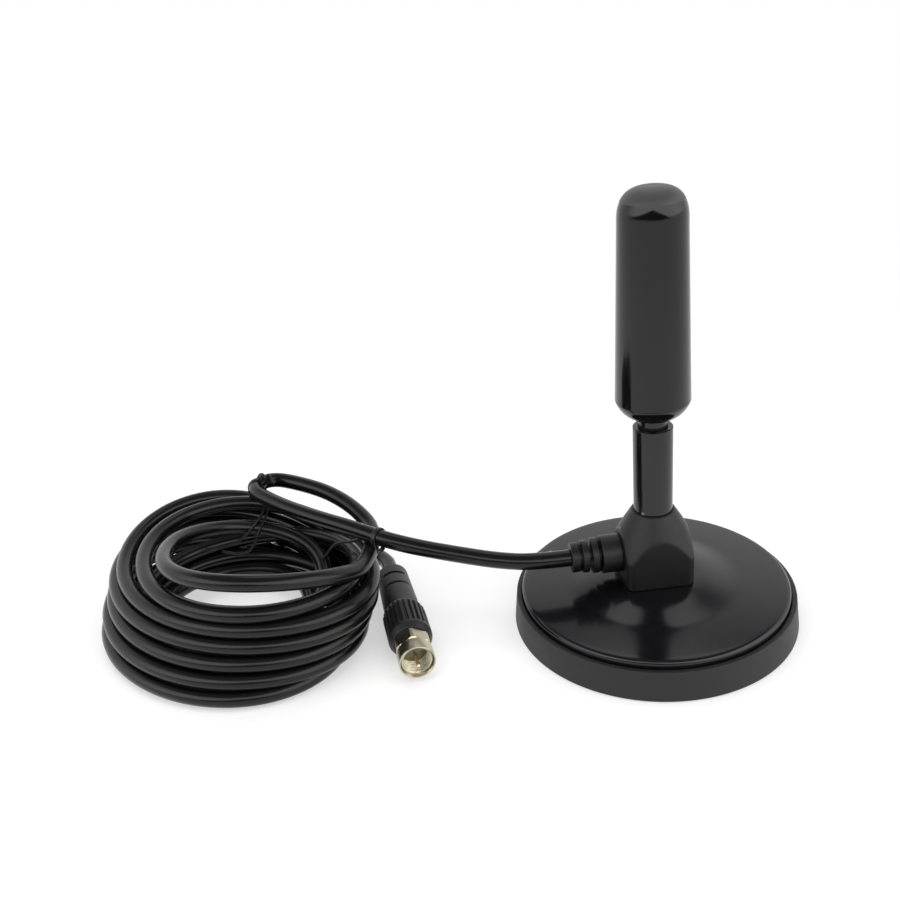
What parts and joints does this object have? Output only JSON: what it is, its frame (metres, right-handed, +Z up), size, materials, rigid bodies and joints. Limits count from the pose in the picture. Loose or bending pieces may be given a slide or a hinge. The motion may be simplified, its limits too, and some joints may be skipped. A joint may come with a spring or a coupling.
{
  "type": "indoor tv antenna with magnetic base and coaxial lead",
  "caption": "Small indoor TV antenna: a tapered head on a short stem and square foot, a round magnetic base, and a tied coil of coaxial lead that ends in a screw-on plug.",
  "frame": {"origin": "centre of the base's underside, on the table", "axes": "+Z up the mast; the cable leaves the foot along -X; +Y is away from the plug's mouth"},
  "size_m": [0.2202, 0.1091, 0.1328],
  "materials": {
    "gloss_paint": "gloss",
    "boot_rubber": "matt",
    "pad_foam": "matt",
    "ferrite": "matt",
    "matt_moulding": "matt",
    "steel": "satin",
    "gloss_moulding": "gloss",
    "board": "satin",
    "cable_jacket": "gloss",
    "tie_coating": "satin",
    "boot_moulding": "matt",
    "nickel": "polished",
    "white_core": "satin",
    "copper": "satin"
  },
  "bodies": {
    "antenna": {"base_dish": "gloss_paint", "stem_tube": "gloss_paint", "base_boot": "boot_rubber", "base_pad": "pad_foam", "ring_magnet": "ferrite", "foot_block": "matt_moulding", "strain_relief": "matt_moulding", "block_screws": "steel", "head_plug": "gloss_moulding", "head_cover": "gloss_moulding", "radiator_board": "board", "feed_coax": "cable_jacket", "cable_lead": "cable_jacket", "cable_coil": "cable_jacket", "cable_tail": "cable_jacket", "coil_tie_left": "tie_coating", "coil_tie_right": "tie_coating", "plug_boot": "boot_moulding", "plug_body": "nickel", "plug_dielectric": "white_core", "plug_pin": "copper"},
    "nut": {"plug_nut": "nickel"}
  },
  "joints": [
    {"name": "nut_spin", "type": "hinge", "parent": "antenna", "child": "nut", "pos_m": [-0.07673, -0.0108, 0.0068], "axis": [0.1349, -0.9909, 0], "continuous": true}
  ]
}
